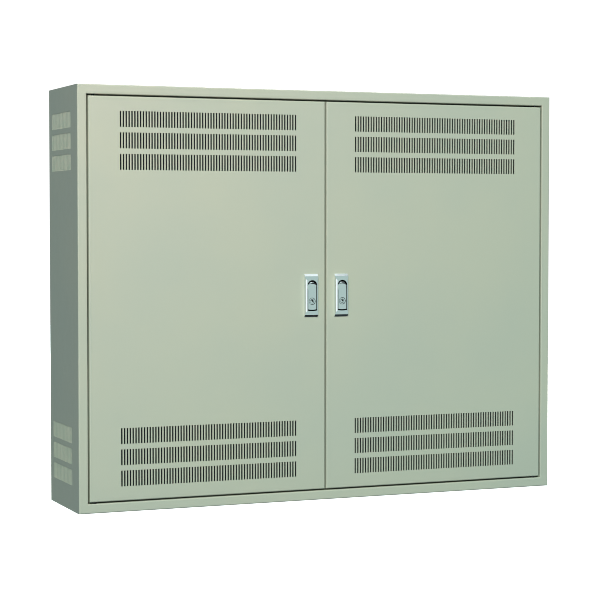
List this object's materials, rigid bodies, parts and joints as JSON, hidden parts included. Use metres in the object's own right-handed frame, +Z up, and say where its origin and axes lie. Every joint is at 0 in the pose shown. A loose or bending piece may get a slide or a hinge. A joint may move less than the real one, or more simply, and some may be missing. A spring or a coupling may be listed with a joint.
{
  "type": "wall-mount equipment cabinet",
  "caption": "Shallow sheet-steel wall cabinet with flush double doors, rows of vent slots, chrome flush handles and key-driven lock rods, on an inner mounting plate.",
  "frame": {"origin": "centre of the wall-bolt pattern on the back plane", "axes": "+X to the right seen from the front, +Y into the wall, +Z up; the doors face -Y"},
  "size_m": [1, 0.2085, 0.8],
  "materials": {
    "paint": "semi-gloss powder coat",
    "chrome": "polished plating",
    "zinc": "zinc plated",
    "steel": "turned",
    "black_steel": "blackened",
    "brass": "turned",
    "rubber": "moulded",
    "black_plastic": "moulded",
    "nylon": "moulded"
  },
  "bodies": {
    "cabinet": {"left_side_panel": "paint", "right_side_panel": "paint", "top_panel": "paint", "bottom_panel": "paint", "back_panel": "paint", "wall_doublers": "paint", "equipment_plate": "zinc", "plate_studs": "zinc", "plate_nuts": "zinc", "earth_stud": "brass", "earth_nut": "brass", "cable_cover": "paint", "cover_screws": "zinc", "left_frame_hinge_plates": "paint", "right_frame_hinge_plates": "paint", "left_upper_pin": "black_steel", "right_upper_pin": "black_steel", "left_lower_pin": "black_steel", "right_lower_pin": "black_steel", "left_magnet_catches": "black_plastic", "right_magnet_catches": "black_plastic", "left_bumpers": "rubber", "right_bumpers": "rubber"},
    "left_door": {"left_door": "paint", "left_upper_stiffener": "paint", "left_lower_stiffener": "paint", "left_door_hinge_plates": "paint", "left_guide_brackets": "paint", "left_rod_guides": "nylon", "left_catch_strikes": "zinc", "left_handle_base": "chrome", "left_handle_screws": "zinc", "left_lock_barrel": "chrome", "left_barrel_nut": "zinc", "left_lever_pin": "steel"},
    "left_lever": {"left_lever": "chrome"},
    "left_key": {"left_key_plug": "chrome", "left_lock_cam": "zinc", "left_cam_screw": "steel"},
    "left_upper_rod": {"left_upper_rod": "zinc"},
    "left_lower_rod": {"left_lower_rod": "zinc"},
    "right_door": {"right_door": "paint", "right_upper_stiffener": "paint", "right_lower_stiffener": "paint", "right_door_hinge_plates": "paint", "right_guide_brackets": "paint", "right_rod_guides": "nylon", "right_catch_strikes": "zinc", "right_handle_base": "chrome", "right_handle_screws": "zinc", "right_lock_barrel": "chrome", "right_barrel_nut": "zinc", "right_lever_pin": "steel"},
    "right_lever": {"right_lever": "chrome"},
    "right_key": {"right_key_plug": "chrome", "right_lock_cam": "zinc", "right_cam_screw": "steel"},
    "right_upper_rod": {"right_upper_rod": "zinc"},
    "right_lower_rod": {"right_lower_rod": "zinc"}
  },
  "joints": [
    {"name": "left_door_hinge", "type": "hinge", "parent": "cabinet", "child": "left_door", "pos_m": [-0.468, -0.193, 0], "axis": [0, 0, -1], "range_deg": [0, 120]},
    {"name": "left_lever_pull", "type": "hinge", "parent": "left_door", "child": "left_lever", "pos_m": [-0.032, -0.204, 0.0205], "axis": [-1, 0, 0], "range_deg": [0, 40]},
    {"name": "left_key_turn", "type": "hinge", "parent": "left_door", "child": "left_key", "pos_m": [-0.032, -0.2, -0.0095], "axis": [0, -1, 0], "range_deg": [0, 90]},
    {"name": "left_upper_rod_slide", "type": "slide", "parent": "left_door", "child": "left_upper_rod", "axis": [0, 0, 1], "range_m": [0, 0.01697]},
    {"name": "left_lower_rod_slide", "type": "slide", "parent": "left_door", "child": "left_lower_rod", "axis": [0, 0, -1], "range_m": [0, 0.01697]},
    {"name": "right_door_hinge", "type": "hinge", "parent": "cabinet", "child": "right_door", "pos_m": [0.468, -0.193, 0], "axis": [0, 0, 1], "range_deg": [0, 120]},
    {"name": "right_lever_pull", "type": "hinge", "parent": "right_door", "child": "right_lever", "pos_m": [0.032, -0.204, 0.0205], "axis": [-1, 0, 0], "range_deg": [0, 40]},
    {"name": "right_key_turn", "type": "hinge", "parent": "right_door", "child": "right_key", "pos_m": [0.032, -0.2, -0.0095], "axis": [0, 1, 0], "range_deg": [0, 90]},
    {"name": "right_upper_rod_slide", "type": "slide", "parent": "right_door", "child": "right_upper_rod", "axis": [0, 0, 1], "range_m": [0, 0.01697]},
    {"name": "right_lower_rod_slide", "type": "slide", "parent": "right_door", "child": "right_lower_rod", "axis": [0, 0, -1], "range_m": [0, 0.01697]}
  ],
  "couplings": [
    {"joint": "left_key_turn", "follows": "left_upper_rod_slide", "rad_per_m": 92.56},
    {"joint": "left_lower_rod_slide", "follows": "left_upper_rod_slide", "ratio": 1},
    {"joint": "right_key_turn", "follows": "right_upper_rod_slide", "rad_per_m": 92.56},
    {"joint": "right_lower_rod_slide", "follows": "right_upper_rod_slide", "ratio": 1}
  ]
}
